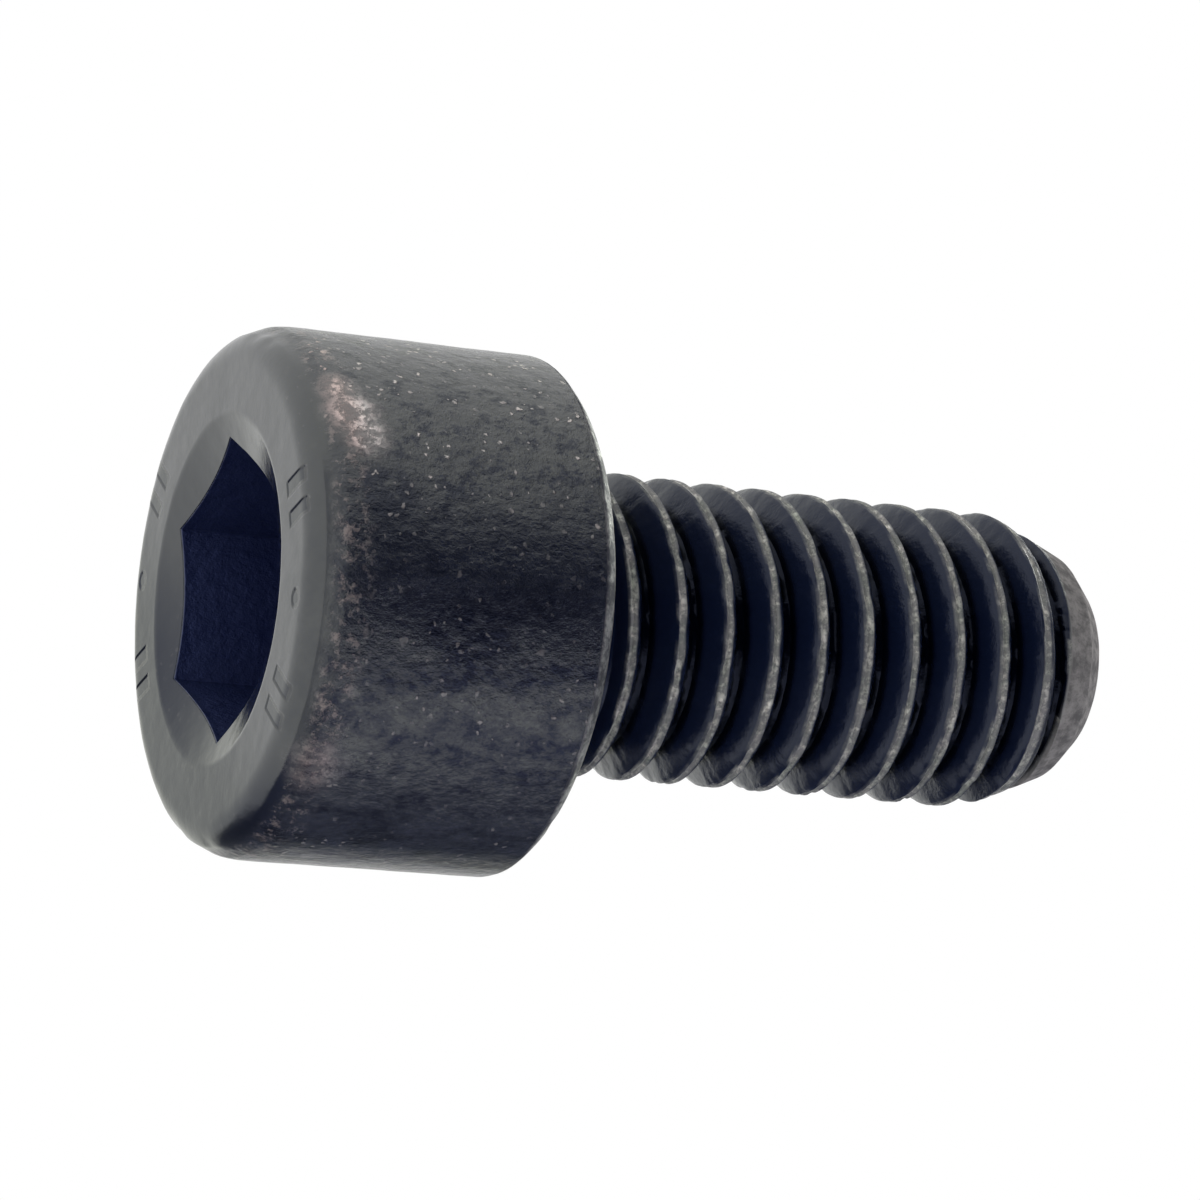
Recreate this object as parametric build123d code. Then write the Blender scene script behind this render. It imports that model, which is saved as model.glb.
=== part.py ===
"""Socket head cap screw, M6 coarse thread, 12 mm long, threaded up to the head.

One solid. The screw would roll on its side, so it stands on its head as a real one can:
the face with the socket is on z = 0, and +Z runs along the axis to the tip.
One corner of the hexagon points along +X.
"""
from build123d import *
import math
import os

# Head
HEAD_DIAMETER = 10.0
HEAD_HEIGHT = 6.0
TOP_EDGE_RADIUS = 0.8        # rounded edge round the face with the socket
RIM_CHAMFER = 0.2            # broken edge round the bearing face
UNDERHEAD_BEVEL = 0.25       # strengthens the corner between shank and bearing face

# Hexagon socket
SOCKET_FLATS = 5.0
SOCKET_DEPTH = 3.1           # from the face to the end of the flats
SOCKET_CONE_ANGLE = 130.0    # included angle of the bottom
COUNTERSINK_DIAMETER = 6.6   # at the face
COUNTERSINK_ANGLE = 150.0    # included angle

# Thread
LENGTH = 12.0                # bearing face to tip
MAJOR_DIAMETER = 6.0         # basic size
PITCH = 1.0
CREST_ALLOWANCE = 0.1        # the rolled crests stay this far under the basic size
FLANK_ANGLE = 60.0           # between the two flanks of a groove
RUNOUT_LENGTH = 1.7          # under the head, where the groove fades out
LEAD_LENGTH = 2.0            # at the tip, where the crests are not full yet
LEAD_DROP = 0.65             # how far the crest falls over that length
TIP_DIAMETER = 3.7           # end face, inside a 45 degree chamfer
CREST_OFFSET = 0.65          # height of a crest over the bearing face on the +X side

HEAD_RADIUS = HEAD_DIAMETER / 2
CREST_RADIUS = (MAJOR_DIAMETER - CREST_ALLOWANCE) / 2
SLOPE = math.tan(math.radians(FLANK_ANGLE / 2))
ROOT_RADIUS = MAJOR_DIAMETER / 2 - PITCH / SLOPE * 17 / 48
NECK_RADIUS = CREST_RADIUS + 0.04
TIP_RADIUS = TIP_DIAMETER / 2
TIP = HEAD_HEIGHT + LENGTH
OVERRUN = 1.5 * PITCH        # how far the uncut thread runs past the tip


def turned(outline):
    """A solid of revolution about the axis, from (radius, z) corners."""
    return revolve(make_face(Polyline(*[(r, 0, z) for r, z in outline], close=True)), Axis.Z)


def head():
    """Plain cylinder with a rounded upper edge and a broken lower edge."""
    body = turned([
        (0, 0),
        (HEAD_RADIUS, 0),
        (HEAD_RADIUS, HEAD_HEIGHT - RIM_CHAMFER),
        (HEAD_RADIUS - RIM_CHAMFER, HEAD_HEIGHT),
        (0, HEAD_HEIGHT),
    ])
    top_edge = body.edges().filter_by(GeomType.CIRCLE).sort_by(Axis.Z)[0]
    return fillet(top_edge, TOP_EDGE_RADIUS)


def socket():
    """Hexagon hole with a conical bottom and a countersunk mouth."""
    corner = SOCKET_FLATS / math.sqrt(3)
    prism = extrude(RegularPolygon(corner, 6), HEAD_HEIGHT)
    cone_depth = corner / math.tan(math.radians(SOCKET_CONE_ANGLE / 2))
    bottom = turned([
        (0, 0),
        (corner, 0),
        (corner, SOCKET_DEPTH),
        (0, SOCKET_DEPTH + cone_depth),
    ])
    sink_radius = COUNTERSINK_DIAMETER / 2
    sink_depth = sink_radius / math.tan(math.radians(COUNTERSINK_ANGLE / 2))
    countersink = turned([(0, 0), (sink_radius, 0), (0, sink_depth)])
    return (prism & bottom) + countersink


def neck():
    """Under the head: the bevel, then the cone that closes the groove."""
    inside = ROOT_RADIUS - PITCH * 0.3
    growth = (RUNOUT_LENGTH - UNDERHEAD_BEVEL) / (NECK_RADIUS - ROOT_RADIUS)
    return turned([
        (0, HEAD_HEIGHT - PITCH),
        (NECK_RADIUS + UNDERHEAD_BEVEL, HEAD_HEIGHT - PITCH),
        (NECK_RADIUS + UNDERHEAD_BEVEL, HEAD_HEIGHT),
        (NECK_RADIUS, HEAD_HEIGHT + UNDERHEAD_BEVEL),
        (inside, HEAD_HEIGHT + UNDERHEAD_BEVEL + (NECK_RADIUS - inside) * growth),
        (0, HEAD_HEIGHT + UNDERHEAD_BEVEL + (NECK_RADIUS - inside) * growth),
    ])


def half_width(radius):
    """Half the width of the thread's ridge at a radius."""
    return PITCH / 16 + (MAJOR_DIAMETER / 2 - radius) * SLOPE


def threaded_rod():
    """Root cylinder with the right-hand helical ridge, from inside the head past the tip."""
    start = HEAD_HEIGHT + CREST_OFFSET - 1.5 * PITCH
    height = TIP + OVERRUN - start
    path = Helix(PITCH, height - PITCH / 2, CREST_RADIUS, center=(0, 0, start))
    foot = ROOT_RADIUS - PITCH * 0.03
    inner = ROOT_RADIUS - PITCH * 0.2
    corners = [
        (CREST_RADIUS, half_width(CREST_RADIUS)),
        (foot, half_width(foot)),
        (inner, half_width(foot)),
        (inner, -half_width(foot)),
        (foot, -half_width(foot)),
        (CREST_RADIUS, -half_width(CREST_RADIUS)),
    ]
    profile = make_face(Polyline(*[(r, 0, start + z) for r, z in corners], close=True))
    ridge = Rot(0, 0, 180) * sweep(profile, path=path, is_frenet=True)
    upward = (Align.CENTER, Align.CENTER, Align.MIN)
    return Pos(0, 0, start) * Cylinder(ROOT_RADIUS, height, align=upward) + ridge


def tip_cutter():
    """Everything outside the lead cone and the end chamfer, and past the end face."""
    lead_end = CREST_RADIUS - LEAD_DROP
    chamfer = lead_end - TIP_RADIUS
    reach = 2 * LEAD_DROP
    lead_back = (LEAD_LENGTH - chamfer) * reach / LEAD_DROP
    return turned([
        (0, TIP),
        (TIP_RADIUS, TIP),
        (lead_end, TIP - chamfer),
        (lead_end + reach, TIP - chamfer - lead_back),
        (lead_end + reach, TIP + 2 * OVERRUN),
        (0, TIP + 2 * OVERRUN),
    ])


os.makedirs("parts", exist_ok=True)
shank = threaded_rod() - tip_cutter()
cap_screw = shank + neck() + (head() - socket())
export_step(cap_screw, "parts/cap_screw.step")
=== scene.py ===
import bpy
import math
import numpy as np
from mathutils import Matrix, Vector, noise


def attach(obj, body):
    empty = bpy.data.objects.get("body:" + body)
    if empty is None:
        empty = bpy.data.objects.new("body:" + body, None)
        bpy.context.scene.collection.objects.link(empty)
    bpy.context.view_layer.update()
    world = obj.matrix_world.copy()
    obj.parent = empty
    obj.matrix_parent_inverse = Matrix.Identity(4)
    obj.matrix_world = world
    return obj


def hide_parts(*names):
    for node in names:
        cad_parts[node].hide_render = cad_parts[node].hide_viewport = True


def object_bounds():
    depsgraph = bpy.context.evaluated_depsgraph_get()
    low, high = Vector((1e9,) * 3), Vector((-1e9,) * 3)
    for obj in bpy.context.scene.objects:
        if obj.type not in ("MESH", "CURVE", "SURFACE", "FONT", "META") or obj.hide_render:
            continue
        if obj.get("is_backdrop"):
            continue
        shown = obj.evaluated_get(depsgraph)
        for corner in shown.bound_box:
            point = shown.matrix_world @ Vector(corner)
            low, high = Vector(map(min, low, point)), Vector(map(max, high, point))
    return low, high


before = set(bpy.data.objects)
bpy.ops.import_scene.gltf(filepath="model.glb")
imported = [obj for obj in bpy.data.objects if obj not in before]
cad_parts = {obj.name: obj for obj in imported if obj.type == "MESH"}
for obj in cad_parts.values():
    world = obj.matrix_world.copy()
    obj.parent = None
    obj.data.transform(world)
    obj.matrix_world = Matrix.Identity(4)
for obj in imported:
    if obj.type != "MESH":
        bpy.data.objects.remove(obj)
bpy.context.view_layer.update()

# ---------------------------------------------------------------------------
# The screw is one piece of alloy steel: the head is cold forged, with the hexagon punched into
# it, and the thread is rolled, which leaves a folded seam along each crest. Its black oxide is
# rubbed grey where it knocks about. Sizes are millimetres, with the socket's face on z = 0.
# ---------------------------------------------------------------------------
MM = 0.001
HEAD_R = 5.0
HEAD_H = 6.0
RIM = 0.27  # the broken edge under the head

# The face turns back into the side in two stages. Each corner is a radius and a height.
FACE_END = (HEAD_R - 0.7, 0.0)
FIRST_CORNER = (HEAD_R - 0.2, 0.25)
SECOND_CORNER = (HEAD_R - 0.04, 0.62)
SIDE_START = (HEAD_R, 1.05)
FACE_BEND = math.radians(50)

# The hexagon, the cone that the punch leaves below its flats, and the countersink at its mouth.
FLATS = 5.0
CORNER_R = FLATS / math.sqrt(3)
SOCKET_DEPTH = 3.1
CONE_SLOPE = math.tan(math.radians(25))
CONE_BLUNT = 0.03
MOUTH_R = 3.3
MOUTH_SLOPE = math.tan(math.radians(19))

# The neck and the thread. The lead is the cone that the thread ends in, and the tip is chamfered.
NECK_R = 2.99
NECK_FILLET = 0.25
CREST_R = 2.95
ROOT_R = 2.387
MAJOR_R = 3.0  # the flanks are laid out from here, with RIDGE_HALF on either side of a crest line
RIDGE_HALF = 0.09
FLANK_SLOPE = math.tan(math.radians(30))
PITCH = 1.0
FIRST_CREST = HEAD_H + 0.65
RUNOUT = 1.45  # the neck narrows to the roots along this
TIP_Z = 18.0
TIP_R = 1.85
LEAD_START = TIP_Z - 2.0
PLAIN_START = 16.95  # from here on the lead has no thread
LEAD_R = CREST_R - 0.65
TIP_CHAMFER = LEAD_R - TIP_R
THREAD_START = HEAD_H + NECK_FILLET
THREAD_END = TIP_Z - TIP_CHAMFER

COLUMNS = 240  # points in each ring
TURNS = 13  # of the helix, which end past the tip
SNAP = 0.004  # points of the thread this near to its ends share the ring there
turn = np.linspace(0, 2 * math.pi, COLUMNS, endpoint=False)
one = np.ones(COLUMNS)
hexagon = FLATS / 2 / np.cos(turn % (math.pi / 3) - math.pi / 6)


def smooth(x, low, high):
    """0 at low, 1 at high, and an even curve between; low may be the larger."""
    t = np.clip((x - low) / (high - low), 0, 1)
    return t * t * (3 - 2 * t)


def ring(radius, height):
    """One ring of points round the axis."""
    radius, height = radius * one, height * one
    return np.stack([radius * np.cos(turn), radius * np.sin(turn), height], axis=1)


def socket_rings():
    """The cone at the bottom, the six flats and the punched mouth."""
    rings = []
    for t in np.linspace(0.04, 1, 12):
        rings.append(ring(hexagon * t, SOCKET_DEPTH + (CORNER_R - hexagon * t) * CONE_SLOPE))
    flats_end = SOCKET_DEPTH + (CORNER_R - hexagon) * CONE_SLOPE
    mouth = (MOUTH_R - hexagon) * MOUTH_SLOPE
    for t in np.linspace(0.06, 1, 12):
        rings.append(ring(hexagon, flats_end + (mouth - flats_end) * t))
    for t in np.linspace(0.12, 1, 9):
        rings.append(ring(hexagon + (MOUTH_R - hexagon) * t, mouth * (1 - t)))
    return rings


def head_rings():
    """The face, its rounded edge, the side, the rim, the bearing face and the neck's fillet."""
    (face_r, face_z), (first_r, first_z) = FACE_END, FIRST_CORNER
    (second_r, second_z), (side_r, side_z) = SECOND_CORNER, SIDE_START
    rings = [ring(r, 0) for r in np.linspace(MOUTH_R + 0.05, face_r, 14)]
    for a in np.linspace(0, FACE_BEND, 10)[1:]:
        outward = math.sin(a) / math.sin(FACE_BEND)
        back = (1 - math.cos(a)) / (1 - math.cos(FACE_BEND))
        rings.append(ring(face_r + (first_r - face_r) * outward, face_z + (first_z - face_z) * back))
    for t in (0.08, 0.25, 0.5, 0.75, 0.92, 1):
        rings.append(ring(first_r + (second_r - first_r) * t, first_z + (second_z - first_z) * t))
    for t in (0.08, 0.3, 0.6):
        rings.append(ring(side_r - (side_r - second_r) * (1 - t) ** 2, second_z + (side_z - second_z) * t))
    rings += [ring(HEAD_R, z) for z in np.linspace(side_z, HEAD_H - RIM - 0.04, 34)[1:]]
    rings += [ring(HEAD_R - cut, HEAD_H - RIM + cut) for cut in (0.015, 0.06, 0.1, 0.14, 0.185)]
    rings += [ring(r, HEAD_H) for r in np.linspace(HEAD_R - RIM - 0.05, NECK_R + NECK_FILLET + 0.01, 9)]
    for a in np.linspace(0, math.pi / 2, 6)[1:]:
        rings.append(ring(NECK_R + NECK_FILLET * (1 - math.sin(a)), HEAD_H + NECK_FILLET * (1 - math.cos(a))))
    return rings


def wander(points, scale, seed):
    """Smooth noise from -1 to 1 at each point, for lumps of about 1 / scale mm."""
    shift = Vector((seed * 7.3, seed * -3.1, seed * 5.7))
    return np.array([noise.noise(Vector(p) * scale + shift) for p in points.tolist()])


def lead_limit(height):
    """The largest radius that the thread has at a height, less and less along the lead."""
    return CREST_R - (CREST_R - LEAD_R) * np.clip((height - LEAD_START) / (THREAD_END - LEAD_START), 0, 1)


def thread_radius(offset, points):
    """The thread's radius at an offset from its crest line, in mm along the axis."""
    height = points[:, 2]
    offset = offset + 0.02 * wander(points, 1.7, 8) + 0.012 * wander(points, 5.0, 9)
    away = np.abs(offset)
    flank = MAJOR_R - (away - RIDGE_HALF) / FLANK_SLOPE
    crest = CREST_R - 0.05 * smooth(away, 0.08, 0.14)
    root = ROOT_R + 0.06 * smooth(away, 0.44, 0.36)
    radius = np.maximum(np.minimum(flank, crest), root)
    limit = lead_limit(height)
    runout = NECK_R - (NECK_R - ROOT_R) * (height - THREAD_START) / RUNOUT
    # A crest that is rolled less than full has a wider and deeper seam, between two uneven lips.
    unfinished = np.maximum(smooth(limit, CREST_R, CREST_R - 0.4), smooth(runout, 2.5, 2.9))
    lips = wander(points, 1.1, 3) * 0.35 + wander(points, 4.0, 4) * 0.35 + 1
    seam_width = 0.035 + 0.05 * unfinished
    seam = (0.055 + 0.015 * unfinished) * lips * np.exp(-((offset / seam_width) ** 2))
    radius = np.minimum(radius, limit)
    radius = np.maximum(radius, np.maximum(runout, 0) * (height < HEAD_H + 1.9))
    radius += (limit - radius) * smooth(height, PLAIN_START - 0.07, PLAIN_START + 0.05)
    return np.where(radius > ROOT_R + 0.2, radius - seam, radius)


# Rows of the thread follow its helix, so crests and flanks keep clean edges. These are their
# places in one pitch, counted from the crest line.
ROW_OFFSETS = (0, 0.035, 0.08, 0.13, 0.19, 0.27, 0.37, 0.435, 0.5, 0.565, 0.63, 0.73, 0.81, 0.87, 0.92, 0.965)
CHAMFER_STEPS = (0.08, 0.3, 0.6, 0.94, 1.0)
TIP_RINGS = (1.8, 1.6, 1.3, 1.0, 0.6, 0.2)


def build_screw():
    """All points of the screw's skin, and its faces, as one closed surface."""
    points, faces = [], []

    def add(block):
        points.extend(block.tolist())
        return list(range(len(points) - len(block), len(points)))

    def bridge(lower, upper):
        for i in range(COLUMNS):
            k = (i + 1) % COLUMNS
            faces.append((lower[i], lower[k], upper[k], upper[i]))

    # From the bottom of the socket out over the head and down to the neck.
    apex = add(np.array([[0, 0, SOCKET_DEPTH + CORNER_R * CONE_SLOPE - CONE_BLUNT]]))[0]
    head = [add(block) for block in socket_rings() + head_rings()]
    faces.extend((apex, head[0][(i + 1) % COLUMNS], head[0][i]) for i in range(COLUMNS))
    for inner, outer in zip(head, head[1:]):
        bridge(inner, outer)
    low_ring = head[-1]
    high_ring = add(ring(LEAD_R, THREAD_END))

    # A row that leaves the thread at either end shares the points of the ring there.
    per_turn = len(ROW_OFFSETS)
    first_row = -2 * per_turn
    rows = {}
    for row in range(first_row, TURNS * per_turn):
        whole, step = divmod(row, per_turn)
        offset = ROW_OFFSETS[step]
        z = FIRST_CREST + PITCH * (whole + offset + turn / (2 * math.pi))
        from_crest = (offset + 0.5) % 1 - 0.5
        block = np.stack([CREST_R * np.cos(turn), CREST_R * np.sin(turn), z], axis=1)
        radius = thread_radius(from_crest * one, block)
        block = np.stack([radius * np.cos(turn), radius * np.sin(turn), z], axis=1)
        below = z <= THREAD_START + SNAP
        above = z >= THREAD_END - SNAP
        rows[row] = []
        for i in range(COLUMNS):
            if below[i]:
                rows[row].append(low_ring[i])
            elif above[i]:
                rows[row].append(high_ring[i])
            else:
                rows[row].append(len(points))
                points.append(block[i].tolist())
    for row in range(first_row, TURNS * per_turn - 1):
        for i in range(COLUMNS):
            k = (i + 1) % COLUMNS
            # The last column joins the first one of the row that is a pitch further on.
            beside = row if k else row + per_turn
            near, far = rows.get(beside, high_ring), rows.get(beside + 1, high_ring)
            corners = (rows[row][i], near[k], far[k], rows[row + 1][i])
            corners = [c for n, c in enumerate(corners) if c != corners[n - 1]]
            if len(set(corners)) >= 3:
                faces.append(tuple(corners))

    # The tip's chamfer and its end.
    last = high_ring
    tip = [ring(LEAD_R - TIP_CHAMFER * t, THREAD_END + TIP_CHAMFER * t) for t in CHAMFER_STEPS]
    tip += [ring(r, TIP_Z) for r in TIP_RINGS]
    for block in tip:
        ids = add(block)
        bridge(last, ids)
        last = ids
    end = add(np.array([[0, 0, TIP_Z]]))[0]
    faces.extend((last[i], last[(i + 1) % COLUMNS], end) for i in range(COLUMNS))
    return np.array(points), faces


points, faces = build_screw()
mesh = bpy.data.meshes.new("cap_screw_skin")
mesh.from_pydata((points * MM).tolist(), [], faces)
mesh.validate()
mesh.update()
normals = np.zeros(len(mesh.vertices) * 3)
mesh.vertices.foreach_get("normal", normals)
normals = normals.reshape(-1, 3)

# The forging is a little uneven, and its edges and crests have small knocks. Each knock is a
# dent at a place, with a size and a depth.
rng = np.random.default_rng(61)
HEAD_KNOCKS = 34
CREST_KNOCKS = 70
KNOCK_HEIGHTS = [0.12, 0.35, 0.75, 5.85]
lift = 0.006 * wander(points, 0.9, 1) + 0.004 * wander(points, 3.5, 2)
knocks = []
for n in range(HEAD_KNOCKS):
    azimuth, size = rng.uniform(0, 2 * math.pi), rng.uniform(0.08, 0.26)
    z = rng.choice(KNOCK_HEIGHTS) + rng.normal(0, 0.05)
    depth = rng.uniform(0.012, 0.04)
    knocks.append((4.9 * math.cos(azimuth), 4.9 * math.sin(azimuth), z, size, depth))
for n in range(CREST_KNOCKS):
    azimuth, whole = rng.uniform(0, 2 * math.pi), rng.integers(0, 11)
    z = FIRST_CREST + PITCH * (whole + azimuth / (2 * math.pi)) + rng.normal(0, 0.03)
    size, depth = rng.uniform(0.05, 0.14), rng.uniform(0.02, 0.06)
    knocks.append((2.93 * math.cos(azimuth), 2.93 * math.sin(azimuth), z, size, depth))
for x, y, z, size, depth in knocks:
    gap = np.sum((points - (x, y, z)) ** 2, axis=1)
    lift -= depth * np.exp(-gap / size ** 2)

# Where the crests are rubbed: a strip of uneven width along each one, wider on the lead, and
# all of the plain end past the thread.
rod, rise = np.hypot(points[:, 0], points[:, 1]), points[:, 2]
limit = lead_limit(rise)
from_crest = rise - FIRST_CREST - PITCH * np.arctan2(points[:, 1], points[:, 0]) / (2 * math.pi)
from_crest = np.abs((from_crest + PITCH / 2) % PITCH - PITCH / 2 + 0.02 * wander(points, 1.7, 8))
width = 0.1 + 0.04 * wander(points, 2.5, 11) + 0.12 * smooth(CREST_R - limit, 0.02, 0.3)
rubbed = smooth(from_crest, width, width * 0.45) * smooth(rod, limit - 0.2, limit - 0.1)
rubbed = rubbed * (rise > HEAD_H + 0.5) * (rod < 3.2)
rubbed = np.where((rise >= PLAIN_START) & (rod > TIP_R - 0.02), 0.9, rubbed)

points = points + normals * np.clip(lift, -0.08, 0.012)[:, None]
mesh.vertices.foreach_set("co", (points * MM).astype(np.float32).ravel())
mesh.update()
for polygon in mesh.polygons:
    polygon.use_smooth = True
mesh.set_sharp_from_angle(angle=math.radians(38))
mesh.attributes.new("rubbed", "FLOAT", "POINT").data.foreach_set("value", rubbed.astype(np.float32))
screw = bpy.data.objects.new("cap_screw_skin", mesh)
bpy.context.collection.objects.link(screw)

# Colours of the oxide on each part of the screw, and of the bare steel that shows through it.
HEAD_OXIDE = ((0.002, 0.006, 0.032, 1), (0.007, 0.011, 0.034, 1))
SOCKET_OXIDE = (0.025, 0.041, 0.148, 1)
THREAD_OXIDE = (0.010, 0.017, 0.050, 1)
ROOT_OXIDE = (0.002, 0.004, 0.014, 1)
HEAD_STEEL = ((0.85, 0.71, 0.70, 1), (0.58, 0.60, 0.57, 1))
CREST_STEEL = ((0.48, 0.56, 0.44, 1), (0.95, 0.86, 0.87, 1))
EDGE_STEEL = (0.66, 0.53, 0.50, 1)
# The rim's grey is partly worn steel and partly a painted highlight.
RIM_STEEL_AND_HIGHLIGHT = (0.56, 0.57, 0.55, 1)
BURR_STEEL = (0.95, 0.92, 0.85, 1)
TIP_STEEL = ((0.17, 0.165, 0.165, 1), (0.36, 0.345, 0.335, 1))

# The worn oxide is one node group that the head, the thread and the rubbed edges share. It
# takes the place on the screw in mm, how rubbed the crests are there, and how dull thick
# oxide is.
worn_oxide = bpy.data.node_groups.new("worn_oxide", "ShaderNodeTree")
nodes, links = worn_oxide.nodes, worn_oxide.links
for name, in_out, kind in (
    ("Place", "INPUT", "NodeSocketVector"),
    ("Crest Rub", "INPUT", "NodeSocketFloat"),
    ("Thick Dullness", "INPUT", "NodeSocketFloat"),
    ("Color", "OUTPUT", "NodeSocketColor"),
    ("Metallic", "OUTPUT", "NodeSocketFloat"),
    ("Roughness", "OUTPUT", "NodeSocketFloat"),
    ("Relief", "OUTPUT", "NodeSocketFloat"),
):
    worn_oxide.interface.new_socket(name=name, in_out=in_out, socket_type=kind)
entry = nodes.new("NodeGroupInput").outputs
result = nodes.new("NodeGroupOutput").inputs


def feed(socket, value):
    """Sets an input to a plain value, or links it to another node's output."""
    if hasattr(value, "is_output"):
        links.new(value, socket)
    else:
        socket.default_value = value


def calc(operation, a, b=0.0):
    """One Math node."""
    node = nodes.new("ShaderNodeMath")
    node.operation = operation
    feed(node.inputs[0], a)
    feed(node.inputs[1], b)
    return node.outputs[0]


def times(*values):
    """All the values multiplied."""
    total = values[0]
    for value in values[1:]:
        total = calc("MULTIPLY", total, value)
    return total


def most(*values):
    """The largest of the values."""
    total = values[0]
    for value in values[1:]:
        total = calc("MAXIMUM", total, value)
    return total


def less(mask, share=1.0):
    """1 where the mask is 0, down to 1 - share where it is 1."""
    return calc("SUBTRACT", 1.0, mask if share == 1.0 else times(mask, share))


def spread(mask, floor, extra):
    """The mask squeezed to run from floor to floor + extra."""
    return calc("ADD", floor, times(mask, extra))


def band(value, low, high):
    """0 at low, 1 at high, eased between; low may be the larger."""
    node = nodes.new("ShaderNodeMapRange")
    node.interpolation_type = "SMOOTHSTEP"
    falls = low > high
    feed(node.inputs["Value"], value)
    node.inputs["From Min"].default_value = min(low, high)
    node.inputs["From Max"].default_value = max(low, high)
    node.inputs["To Min"].default_value = 1.0 if falls else 0.0
    node.inputs["To Max"].default_value = 0.0 if falls else 1.0
    return node.outputs["Result"]


def grain(at, scale, detail=3.0, rough=0.55, warp=0.0, output="Fac"):
    """Fractal noise; scale is lumps per mm."""
    node = nodes.new("ShaderNodeTexNoise")
    links.new(at, node.inputs["Vector"])
    node.inputs["Scale"].default_value = scale
    node.inputs["Detail"].default_value = detail
    node.inputs["Roughness"].default_value = rough
    node.inputs["Distortion"].default_value = warp
    return node.outputs[output]


def tint(fac, first, second):
    """A colour from first to second."""
    node = nodes.new("ShaderNodeMix")
    node.data_type = "RGBA"
    feed(node.inputs["Factor"], fac)
    feed(node.inputs["A"], first)
    feed(node.inputs["B"], second)
    return node.outputs["Result"]


def vector(operation, a, b=(0, 0, 0), output="Vector"):
    """One Vector Math node."""
    node = nodes.new("ShaderNodeVectorMath")
    node.operation = operation
    feed(node.inputs[0], a)
    feed(node.inputs["Scale" if operation == "SCALE" else 1], b)
    return node.outputs[output]


def around(azimuth, radius, height):
    """A point at an angle round the axis, in mm."""
    return (radius * math.cos(math.radians(azimuth)), radius * math.sin(math.radians(azimuth)), height)


def towards(azimuth):
    """How far each place lies out from the axis towards an angle, in mm."""
    return vector("DOT_PRODUCT", mm, around(azimuth, 1, 0), "Value")


def distance(azimuth, radius, height):
    """How far each place is from a point at an angle round the axis, in mm."""
    return vector("DISTANCE", mm, around(azimuth, radius, height), "Value")


def flecks(scale, low, high, share):
    """Small ragged spots, one in some of the cells of a mesh that is scale cells per mm."""
    cell = nodes.new("ShaderNodeTexVoronoi")
    links.new(ragged, cell.inputs["Vector"])
    cell.inputs["Scale"].default_value = scale
    pick = nodes.new("ShaderNodeSeparateColor")
    links.new(cell.outputs["Color"], pick.inputs[0])
    size = spread(pick.outputs["Green"], low, high - low)
    spot = band(calc("DIVIDE", cell.outputs["Distance"], size), 1.0, 0.6)
    return times(spot, band(pick.outputs["Red"], 1 - share, 1.02 - share))


mm = entry["Place"]
on_crest = entry["Crest Rub"]
split = nodes.new("ShaderNodeSeparateXYZ")
links.new(mm, split.inputs[0])
height = split.outputs["Z"]
radius = vector("LENGTH", vector("MULTIPLY", mm, (1, 1, 0)), output="Value")
drawn = vector("MULTIPLY", mm, (1, 1, 0.4))
lumpy = vector("MULTIPLY", mm, (1, 1, 0.8))
ragged = vector("ADD", mm, vector("SCALE", grain(mm, 7.0, 2.0, 0.5, output="Color"), 0.16))

# Masks for the parts of the screw, by radius and by height above the socket's face.
mouth = times(calc("SUBTRACT", MOUTH_R, radius), MOUTH_SLOPE)
past_mouth = band(calc("SUBTRACT", height, mouth), 0.0, 0.05)
in_socket = times(past_mouth, band(radius, 2.95, 2.88), band(height, 5, 4.8))
in_mouth = times(band(radius, 3.34, 3.26), band(height, 0.5, 0.3))
on_face = times(band(height, 0.6, 0.25), less(in_socket))
on_edge = times(band(height, 0.3, 0.5), band(height, 1.25, 0.8))
on_rim = times(band(height, 5.66, 5.73), band(radius, 4.65, 4.75))
on_thread = times(band(height, 6.05, 6.2), band(radius, 4.2, 4.0))
past_thread = band(height, PLAIN_START - 0.05, PLAIN_START + 0.05)
on_tip = times(past_thread, band(radius, 1.35, 1.84))
on_flank = times(on_thread, less(past_thread), less(on_crest))
in_root = times(on_flank, band(radius, 2.6, 2.45))

# Sides of the head, as angles round the axis: where specks crowd, where the oxide is thin and stained, and
# the side of the face that is painted darker as shade. The smudge has a radius and a height as well.
SPECKED_SIDE = 168
THIN_SIDE = 150
STAINED_SIDE = 160
SHADED_FACE_SIDE = 338
SMUDGE = (195, HEAD_R, 1.4)
specked = band(towards(SPECKED_SIDE), 3.8, 4.9)
thin = band(towards(THIN_SIDE), 1.6, 4.4)
# Painted shade: one side of the face is made duller, and so darker.
painted_face_shade = times(on_face, band(towards(SHADED_FACE_SIDE), -0.5, 3.2))

# Bright specks all over the head, crowded on one side.
specks = most(flecks(2.6, 0.05, 0.26, 0.45), flecks(6.5, 0.1, 0.42, 0.45))
crowd = most(times(band(grain(mm, 0.55, 2.0), 0.42, 0.62), 0.35), specked)
specks = times(specks, spread(crowd, 0.12, 0.7), band(grain(mm, 1.6, 3.0, 0.6), 0.35, 0.6))
specks = times(specks, less(on_thread), less(on_face, 0.85))

# Scuffs by the edge, where the oxide is knocked off and leaves a lump of bright grains. Each
# has an angle round the axis, a height, a size and a strength.
scuffs = 0.0
for azimuth, rise, size, strength in (
    (175, 0.95, 0.75, 1.0),
    (181, 1.1, 0.65, 1.0),
    (168, 0.8, 0.55, 0.9),
    (255, 0.75, 0.8, 0.35),
    (60, 1.1, 0.8, 0.8),
    (330, 0.9, 0.7, 0.8),
):
    scuffs = most(scuffs, times(band(distance(azimuth, HEAD_R, rise), size, size * 0.2), strength))
scuffs = times(scuffs, spread(band(grain(mm, 4.0, 5.0, 0.75), 0.42, 0.6), 0.3, 0.7))
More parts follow.
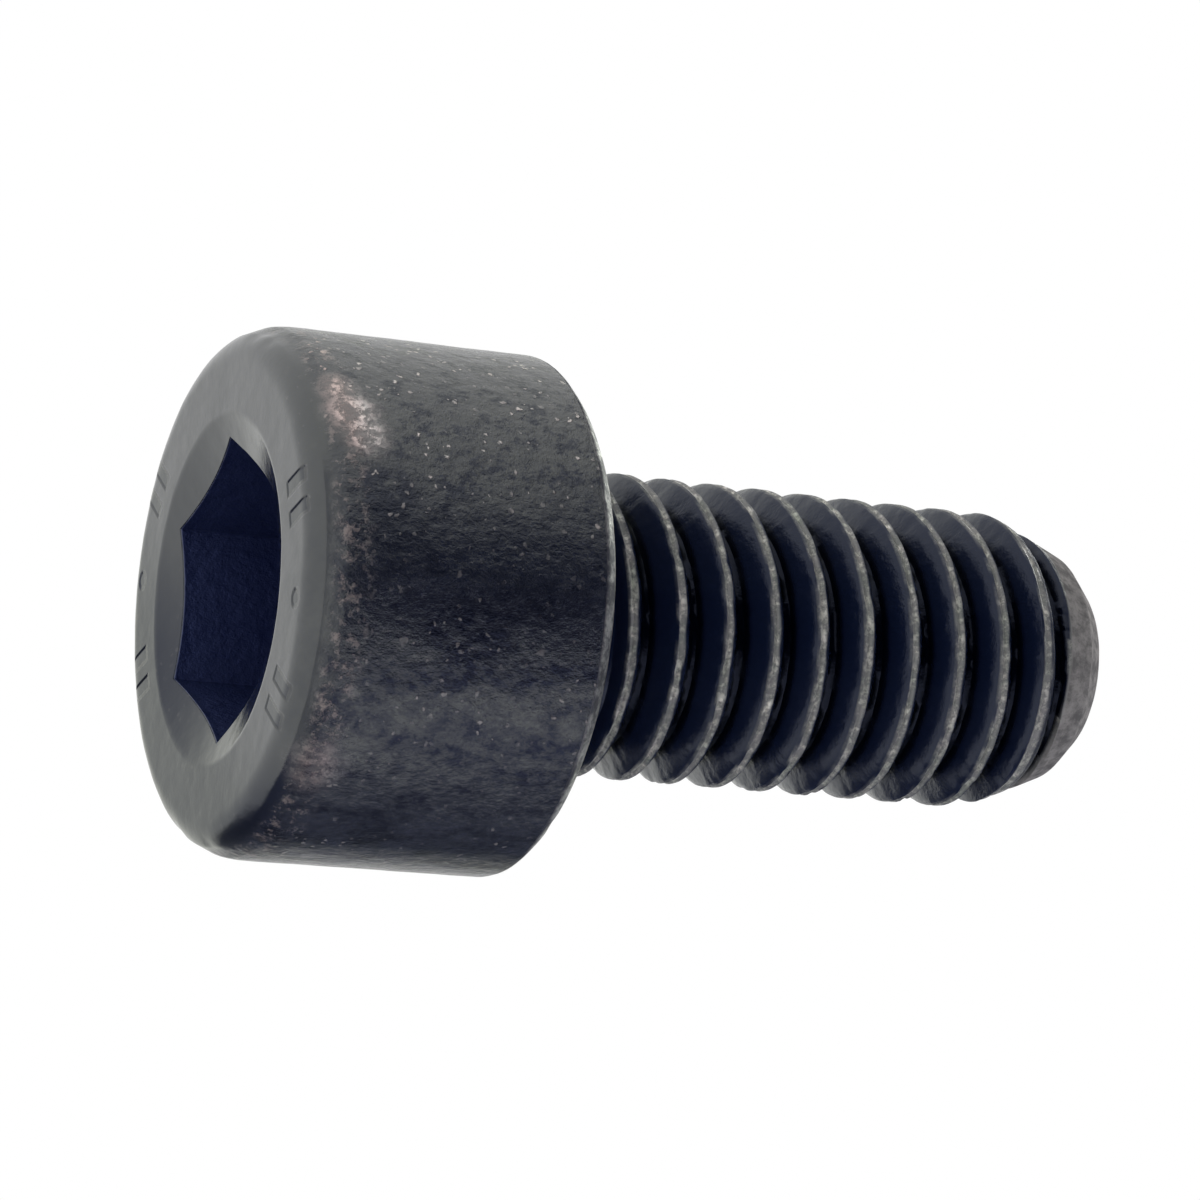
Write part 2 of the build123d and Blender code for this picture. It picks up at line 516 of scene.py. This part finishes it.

# Wear along the head's edge, the rim and the crests, and all over the tip. On the rim the grey is partly wear
# and partly painted highlight: a light line laid into its colour, since the rim itself hardly shines.
edge_wear = times(on_edge, band(grain(mm, 3.4, 5.0, 0.75), 0.5, 0.66), 0.35)
rim_wear_and_highlight = times(on_rim, spread(band(grain(mm, 2.2, 5.0, 0.75), 0.42, 0.62), 0.2, 0.45))
crest_wear = times(on_crest, spread(band(grain(mm, 4.5, 6.0, 0.8), 0.46, 0.6), 0.4, 0.6))
worn = times(most(specks, scuffs, edge_wear, rim_wear_and_highlight, crest_wear, on_tip), less(in_socket))

# Stamped marks on the face: plain bars and dots, the same on all four quarters. Each size is
# where the mark's edge starts and where it has its full depth.
MARKS_TURN = 218.5
MARKS_R = 4.12
BARS_APART = math.radians(26)
BAR_GAP = 0.3
BAR_LENGTH = (0.44, 0.34)
BAR_WIDTH = (0.19, 0.1)
DOT_SIZE = (0.22, 0.1)
across = calc("ABSOLUTE", towards(MARKS_TURN))
along = calc("ABSOLUTE", towards(MARKS_TURN - 90))
outward = calc("ADD", times(across, math.cos(BARS_APART)), times(along, math.sin(BARS_APART)))
outward = calc("ABSOLUTE", calc("SUBTRACT", outward, MARKS_R))
sideways = calc("SUBTRACT", times(along, math.cos(BARS_APART)), times(across, math.sin(BARS_APART)))
sideways = calc("ABSOLUTE", calc("SUBTRACT", calc("ABSOLUTE", sideways), BAR_GAP))
bars = times(band(outward, *BAR_LENGTH), band(sideways, *BAR_WIDTH))
from_dot = calc("ADD", calc("POWER", calc("SUBTRACT", across, MARKS_R), 2.0), calc("POWER", along, 2.0))
dots = band(calc("SQRT", from_dot), *DOT_SIZE)
stamped = times(most(bars, dots), band(height, 0.2, 0.1))

# Stains on the head's side, and one smudge behind its edge.
stains = times(band(grain(lumpy, 2.6, 7.0, 0.82), 0.5, 0.57), band(towards(STAINED_SIDE), 0.5, 3.4))
smudge = times(band(distance(*SMUDGE), 0.85, 0.4), band(grain(lumpy, 2.0, 5.0, 0.7), 0.4, 0.52))
stains = times(most(stains, smudge), band(height, 0.7, 1.0), less(on_thread))

# How thick the oxide is: mottled on the head, thinner on the face, the thin side and the thread, and with a
# least thickness at some places. Thick oxide hardly shines, because it is taken as a metal of its own dark
# colour. On one side of the face the thicker oxide is painted shade, which darkens that side.
patches = band(grain(drawn, 1.0, 5.0, 0.62, 0.5), 0.4, 0.6)
mottle = band(grain(lumpy, 4.6, 6.0, 0.76), 0.43, 0.58)
thick = calc("ADD", times(patches, 0.5), times(mottle, 0.4))
thick = times(thick, less(on_face, 0.8), less(thin, 0.8), less(on_thread, 0.7))
for part, least in (
    (stamped, 0.45),
    (painted_face_shade, 0.75),
    (in_socket, 0.8),
    (in_mouth, 0.2),
    (on_rim, 0.2),
    (on_flank, 0.3),
    (in_root, 0.8),
    (stains, 0.62),
    (on_edge, 0.2),
):
    thick = most(thick, times(part, least))
thick = times(thick, less(on_tip))

oxide = tint(grain(drawn, 2.2, 4.0), *HEAD_OXIDE)
oxide = tint(in_socket, oxide, SOCKET_OXIDE)
oxide = tint(on_thread, oxide, THREAD_OXIDE)
oxide = tint(in_root, oxide, ROOT_OXIDE)
steel = tint(grain(mm, 6.0, 2.0), *HEAD_STEEL)
steel = tint(on_thread, steel, tint(grain(mm, 1.4, 4.0, 0.7), *CREST_STEEL))
steel = tint(on_edge, steel, EDGE_STEEL)
# The rim's steel grey is partly painted highlight.
steel = tint(on_rim, steel, RIM_STEEL_AND_HIGHLIGHT)
steel = tint(times(on_crest, flecks(5.0, 0.2, 0.6, 0.45)), steel, BURR_STEEL)
steel = tint(on_tip, steel, tint(band(grain(lumpy, 3.0, 6.0, 0.75), 0.35, 0.65), *TIP_STEEL))
feed(result["Color"], tint(worn, oxide, steel))

bright = times(worn, less(on_thread, 0.6), less(on_tip), less(on_rim))
feed(result["Metallic"], most(times(thick, entry["Thick Dullness"]), bright))

rough = spread(grain(lumpy, 1.7, 5.0, 0.7), 0.07, 0.26)
rough = calc("ADD", rough, times(most(on_tip, on_rim, on_crest, in_socket), 0.3))
feed(result["Roughness"], calc("SUBTRACT", rough, times(most(in_mouth, on_flank), 0.1)))

# The skin's relief: lumps and fine grain, almost none on the face, with the marks sunk in.
relief = calc("ADD", times(grain(lumpy, 3.8, 6.0, 0.66), 0.95), times(grain(mm, 15.0, 3.0, 0.6), 0.14))
relief = calc("ADD", times(relief, less(on_thread, 0.65)), times(worn, 0.35))
feed(result["Relief"], calc("SUBTRACT", times(relief, less(on_face, 0.88)), times(stamped, 1.3)))

# The three finishes are the same oxide. The rolled thread shines less than the head, and the
# rubbed lead and rim hardly at all.
OXIDE_IOR = 1.95
THICK_DULLNESS = 0.85
OXIDE_TINT = (0.98, 1, 0.88, 1)
RELIEF_DEPTH = 0.05 * MM
for name, shine in (("black_oxide", 0.5), ("rolled_thread", 0.15), ("rubbed_edges", 0.0)):
    finish = bpy.data.materials.new(name)
    finish.use_nodes = True
    nodes, links = finish.node_tree.nodes, finish.node_tree.links
    shader = nodes["Principled BSDF"]
    shader.inputs["IOR"].default_value = OXIDE_IOR
    shader.inputs["Specular Tint"].default_value = OXIDE_TINT
    shader.inputs["Specular IOR Level"].default_value = shine
    rub = nodes.new("ShaderNodeAttribute")
    rub.attribute_name = "rubbed"
    skin = nodes.new("ShaderNodeGroup")
    skin.node_tree = worn_oxide
    place = vector("SCALE", nodes.new("ShaderNodeTexCoord").outputs["Object"], 1 / MM)
    feed(skin.inputs["Place"], place)
    feed(skin.inputs["Crest Rub"], rub.outputs["Fac"])
    feed(skin.inputs["Thick Dullness"], THICK_DULLNESS)
    feed(shader.inputs["Base Color"], skin.outputs["Color"])
    feed(shader.inputs["Metallic"], skin.outputs["Metallic"])
    feed(shader.inputs["Roughness"], skin.outputs["Roughness"])
    uneven = nodes.new("ShaderNodeBump")
    uneven.inputs["Strength"].default_value = 1.0
    uneven.inputs["Distance"].default_value = RELIEF_DEPTH
    feed(uneven.inputs["Height"], skin.outputs["Relief"])
    feed(shader.inputs["Normal"], uneven.outputs["Normal"])
    mesh.materials.append(finish)

# Which finish each face of the mesh has.
BLACK_OXIDE, ROLLED_THREAD, RUBBED_EDGES = range(3)
centres = np.zeros(len(mesh.polygons) * 3)
mesh.polygons.foreach_get("center", centres)
centres = centres.reshape(-1, 3) / MM
out, up = np.hypot(centres[:, 0], centres[:, 1]), centres[:, 2]
threaded = (up > HEAD_H + 0.2) & (up <= PLAIN_START) & (out < 3.3)
rim = (up > HEAD_H - RIM - 0.05) & (up < HEAD_H + 0.1) & (out > HEAD_R - RIM - 0.06)
lead = (up > PLAIN_START) & (out > TIP_R - 0.02)
which = np.where(threaded, ROLLED_THREAD, BLACK_OXIDE)
which = np.where(rim | lead, RUBBED_EDGES, which)
mesh.polygons.foreach_set("material_index", which.astype(np.int32))
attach(screw, "root")
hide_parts("cap_screw")

# ---------------------------------------------------------------------------
# The studio is a white surround with one soft lamp, and dark and pale boards of matt paint for
# the black skin to reflect. The floor is clear from below, so that the socket can be seen, and
# from above it shows pale. Metres.
# ---------------------------------------------------------------------------


def placed(at, along):
    """A matrix that stands at a place, with its z along a direction."""
    return Matrix.Translation(at) @ Vector(along).to_track_quat("Z", "Y").to_matrix().to_4x4()


def board(name, matrix, width, height, material):
    """A flat rectangle with its front along its own z."""
    sheet = bpy.data.meshes.new(name)
    w, h = width / 2, height / 2
    sheet.from_pydata([(-w, -h, 0), (w, -h, 0), (w, h, 0), (-w, h, 0)], [], [(0, 1, 2, 3)])
    sheet.materials.append(material)
    made = bpy.data.objects.new(name, sheet)
    bpy.context.collection.objects.link(made)
    made.matrix_world = matrix
    made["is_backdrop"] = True
    return made


def matt_paint(name, colour):
    """Matt paint for a board."""
    made = bpy.data.materials.new(name)
    made.use_nodes = True
    paint = made.node_tree.nodes["Principled BSDF"]
    paint.inputs["Base Color"].default_value = (*colour, 1)
    paint.inputs["Roughness"].default_value = 1
    paint.inputs["Specular IOR Level"].default_value = 0
    return made


floor_paint = bpy.data.materials.new("pale_floor")
floor_paint.use_nodes = True
nodes, links = floor_paint.node_tree.nodes, floor_paint.node_tree.links
pale = nodes["Principled BSDF"]
pale.inputs["Base Color"].default_value = (0.8, 0.8, 0.8, 1)
pale.inputs["Roughness"].default_value = 0.9
clear = nodes.new("ShaderNodeBsdfTransparent")
side = nodes.new("ShaderNodeNewGeometry")
mix = nodes.new("ShaderNodeMixShader")
links.new(side.outputs["Backfacing"], mix.inputs["Fac"])
links.new(pale.outputs["BSDF"], mix.inputs[1])
links.new(clear.outputs["BSDF"], mix.inputs[2])
links.new(mix.outputs["Shader"], nodes["Material Output"].inputs["Surface"])
UNDER = (0, 0, -0.00005)
floor = board("floor", placed(UNDER, (0, 0, 1)), 2.0, 2.0, floor_paint)
floor.visible_diffuse = False
floor.visible_glossy = False
floor.visible_shadow = False
floor.visible_transmission = False

# The surround is pure white to the eye and in reflections, and lights the screw a little less.
world = bpy.data.worlds.new("surround")
bpy.context.scene.world = world
world.use_nodes = True
nodes, links = world.node_tree.nodes, world.node_tree.links
dimmed = nodes["Background"]
dimmed.inputs["Color"].default_value = (1, 1, 1, 1)
dimmed.inputs["Strength"].default_value = 0.6
white = nodes.new("ShaderNodeBackground")
white.inputs["Color"].default_value = (1, 1, 1, 1)
white.inputs["Strength"].default_value = 1.0
path = nodes.new("ShaderNodeLightPath").outputs
seen = most(path["Is Camera Ray"], path["Is Glossy Ray"], path["Is Transmission Ray"])
mix = nodes.new("ShaderNodeMixShader")
links.new(seen, mix.inputs["Fac"])
links.new(dimmed.outputs[0], mix.inputs[1])
links.new(white.outputs[0], mix.inputs[2])
links.new(mix.outputs[0], nodes["World Output"].inputs["Surface"])

# The camera stands below and to one side, so that the axis runs across the view. DOWN is the
# way, round the axis, that is down in the view. LEAN is how far the tip leans away from the
# camera, and ROLL is how far it drops. The eye's place is in mm from the socket's face.
DOWN = math.radians(-51.5)
LEAN = math.radians(24.84)
ROLL = math.radians(5.58)
EYE_RIGHT = 7.143
EYE_DOWN = 0.208
EYE_BACK = 87.171
axis = Vector((0, 0, 1))
down = Vector((math.cos(DOWN), math.sin(DOWN), 0))
away = axis.cross(down)
leant = math.cos(LEAN) * axis - math.sin(LEAN) * away
right = math.cos(ROLL) * leant - math.sin(ROLL) * down
lower = math.sin(ROLL) * leant + math.cos(ROLL) * down
forward = math.sin(LEAN) * axis + math.cos(LEAN) * away
eye = (EYE_RIGHT * right + EYE_DOWN * lower - EYE_BACK * forward) * MM
camera_data = bpy.data.cameras.new("camera")
camera_data.sensor_width = 36
camera_data.lens = 140.68
camera_data.clip_start = 0.001
camera_data.clip_end = 10
camera = bpy.data.objects.new("camera", camera_data)
bpy.context.collection.objects.link(camera)
camera.matrix_world = Matrix.Translation(eye) @ Matrix((right, -lower, -forward)).transposed().to_4x4()
bpy.context.scene.camera = camera

# Upright boards stand round the screw, past the camera and out of its sight. The two angles
# are counted from the camera's side; low and high are places along the axis.
BOARD_GAP = 0.25
SECTION = 0.3  # half the angle that one flat board spans, at most
for name, start, stop, low, high, colour in (
    ("board_rim", -75, 60, -0.156, -0.03, (0.6, 0.6, 0.6)),
    ("board_black", -20, 41, -0.03, 0.5, (0.006, 0.008, 0.016)),
    ("board_blue", -75, -20, -0.03, 0.5, (0.86, 0.86, 0.92)),
    ("board_dark", -150, -75, -0.156, 0.5, (0.15, 0.16, 0.2)),
):
    middle, half = math.radians((start + stop) / 2), math.radians((stop - start) / 2)
    sections = max(1, round(half / SECTION))
    width = 2 * BOARD_GAP * math.tan(half / sections)
    for n in range(sections):
        angle = middle - half + (2 * n + 1) * half / sections
        outward = -math.cos(angle) * away - math.sin(angle) * down
        upright = Matrix((axis, -outward.cross(axis), -outward)).transposed().to_4x4()
        stand = Matrix.Translation(BOARD_GAP * outward + (low + high) / 2 * axis) @ upright
        made = board(f"{name}_{n}", stand, high - low, width, matt_paint(f"{name}_{n}", colour))
        made.visible_camera = False

# One grey board hangs over the tip.
END_SIZE = 0.64
end_paint = matt_paint("board_end", (0.45, 0.45, 0.45))
end_board = board("board_end", placed(BOARD_GAP * axis, -axis), END_SIZE, END_SIZE, end_paint)
end_board.visible_camera = False
end_board.visible_diffuse = False
end_board.visible_shadow = False

# The key lamp stands high to one side and is aimed at the middle of the screw.
LAMP_AT = Vector((0.2, 0.25, 0.45))
LAMP_AIM = Vector((0, 0, 0.008))
lamp = bpy.data.lights.new("key", "AREA")
lamp.size = 0.3
lamp.energy = 4
key = bpy.data.objects.new("key", lamp)
bpy.context.collection.objects.link(key)
key.matrix_world = placed(LAMP_AT, LAMP_AT - LAMP_AIM)
key.visible_camera = False
bpy.context.scene.view_settings.view_transform = "Standard"

low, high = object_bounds()
